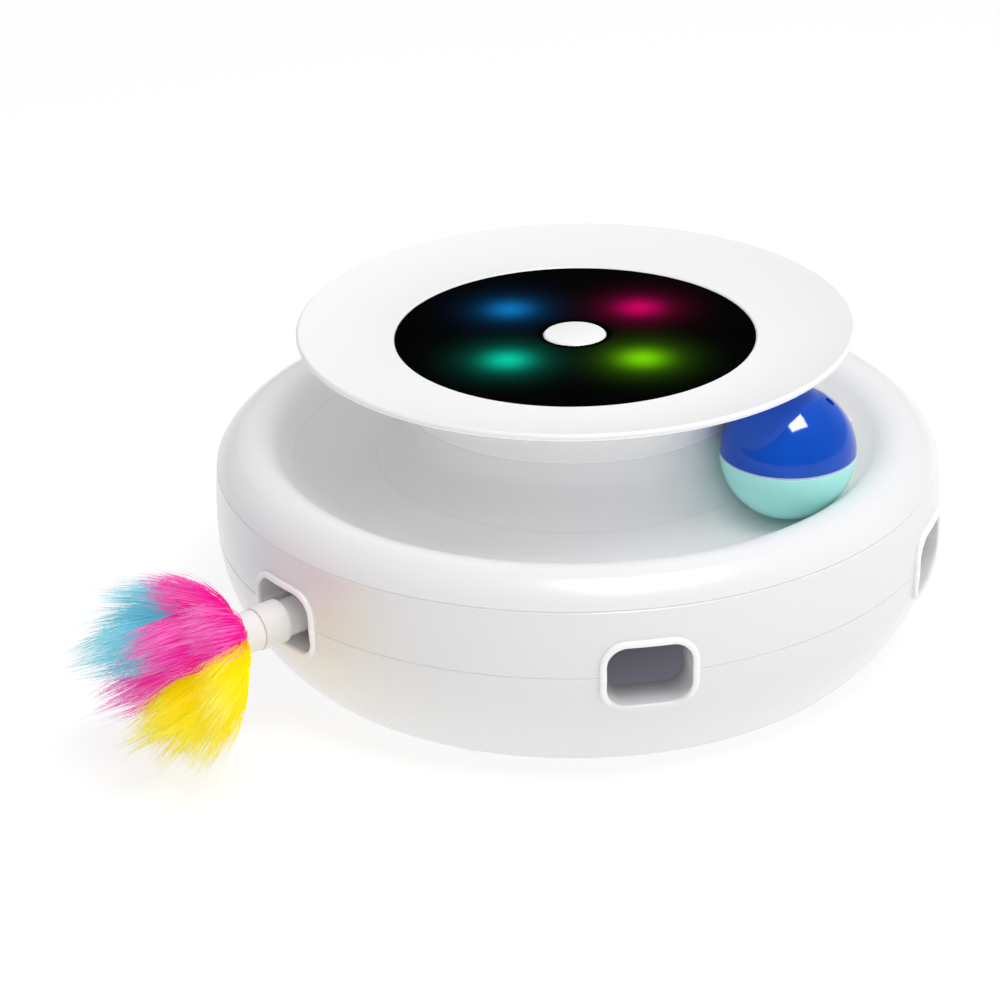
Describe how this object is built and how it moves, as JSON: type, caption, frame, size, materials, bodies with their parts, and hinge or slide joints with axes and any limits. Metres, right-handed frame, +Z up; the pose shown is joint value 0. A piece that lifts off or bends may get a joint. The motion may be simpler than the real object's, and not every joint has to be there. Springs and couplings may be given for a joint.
{
  "type": "automatic cat toy",
  "caption": "Round white cat toy: a feather wand pops out of peep holes in its wall, a two-colour ball runs in an open track, and a saucer on top has a smoked panel, lights and a push button.",
  "frame": {"origin": "on the floor, on the vertical axis of the round case", "axes": "+Z up; -Y is the front, the plain stretch of wall between two peep holes; +X is the side where a peep hole stands a quarter turn to the right"},
  "size_m": [0.2448, 0.2919, 0.107],
  "materials": {
    "white_shell": "gloss",
    "white_satin": "satin",
    "smoked_black": "gloss",
    "white_button": "gloss",
    "wand_white": "gloss",
    "sleeve_milky": "satin",
    "gear_plastic": "satin",
    "black_plastic": "satin",
    "board_green": "satin",
    "cell_wrap": "satin",
    "lead_red": "satin",
    "steel": "brushed",
    "brass": "polished",
    "rubber": "matt",
    "glow_blue": "gloss",
    "glow_magenta": "gloss",
    "glow_teal": "gloss",
    "glow_lime": "gloss",
    "ball_blue": "gloss",
    "ball_mint": "gloss",
    "plume_yellow": "soft",
    "plume_pink": "soft",
    "plume_blue": "soft"
  },
  "bodies": {
    "case": {"base_case": "white_shell", "body_ring": "white_shell", "track_tray": "white_shell", "saucer": "white_satin", "smoked_panel": "smoked_black", "light_board": "board_green", "light_blue": "glow_blue", "light_magenta": "glow_magenta", "light_teal": "glow_teal", "light_lime": "glow_lime", "push_switch": "black_plastic", "light_baffle": "black_plastic", "case_screws": "steel", "saucer_screws": "steel", "light_board_screws": "steel", "main_board_screws": "steel", "foot_ring": "rubber", "main_board": "board_green", "charge_socket": "steel", "battery_holder": "black_plastic", "battery_cell": "cell_wrap", "drive_motor": "steel", "thrust_washer": "gear_plastic", "spindle_screw": "steel", "brush_block": "black_plastic", "drive_lead": "lead_red", "battery_lead": "lead_red", "light_cable": "lead_red"},
    "turret": {"turntable": "gear_plastic", "slip_ring": "brass", "guide_channel": "gear_plastic", "motor_bracket": "steel", "wand_motor": "steel"},
    "drive_pinion": {"drive_pinion": "gear_plastic"},
    "carriage": {"wand_carriage": "wand_white"},
    "rack_pinion": {"rack_pinion": "gear_plastic"},
    "refill": {"wand_sleeve": "sleeve_milky", "ferrule": "wand_white", "feather_yellow": "plume_yellow", "feather_pink": "plume_pink", "feather_blue": "plume_blue"},
    "bell": {"jingle_bell": "brass", "bell_pellet": "steel"},
    "ball": {"ball_upper": "ball_blue", "ball_lower": "ball_mint"},
    "button": {"push_button": "white_button"}
  },
  "joints": [
    {"name": "turret_turn", "type": "hinge", "parent": "case", "child": "turret", "pos_m": [0, 0, 0.024], "axis": [0, 0, 1], "range_deg": [-2.5, 2.5]},
    {"name": "drive_pinion_turn", "type": "hinge", "parent": "case", "child": "drive_pinion", "pos_m": [0.069, 0, 0.024], "axis": [0, 0, 1], "range_deg": [-17, 17]},
    {"name": "wand_slide", "type": "slide", "parent": "turret", "child": "carriage", "axis": [-0.5, -0.866, 0], "range_m": [-0.084, 0], "deforming": ["feather_yellow", "feather_pink", "feather_blue"]},
    {"name": "rack_pinion_turn", "type": "hinge", "parent": "turret", "child": "rack_pinion", "pos_m": [0.01045, -0.01989, 0.04], "axis": [0, 0, 1], "range_deg": [-624, 4]},
    {"name": "refill_pull", "type": "slide", "parent": "carriage", "child": "refill", "axis": [-0.5, -0.866, 0], "range_m": [0, 0.03]},
    {"name": "ball_orbit", "type": "hinge", "parent": "case", "child": "bell", "pos_m": [0, 0, 0.0792], "axis": [0, 0, 1], "continuous": true},
    {"name": "ball_roll", "type": "hinge", "parent": "bell", "child": "ball", "pos_m": [0.07834, -0.01895, 0.0792], "axis": [0.972, -0.2351, 0], "continuous": true},
    {"name": "button_press", "type": "slide", "parent": "case", "child": "button", "axis": [0, 0, -1], "range_m": [0, 0.0011], "stiffness_N_per_m": 1200}
  ],
  "couplings": [
    {"joint": "drive_pinion_turn", "follows": "turret_turn", "ratio": -6.6667},
    {"joint": "rack_pinion_turn", "follows": "wand_slide", "rad_per_m": 125},
    {"joint": "ball_roll", "follows": "ball_orbit", "ratio": -3.7057}
  ]
}
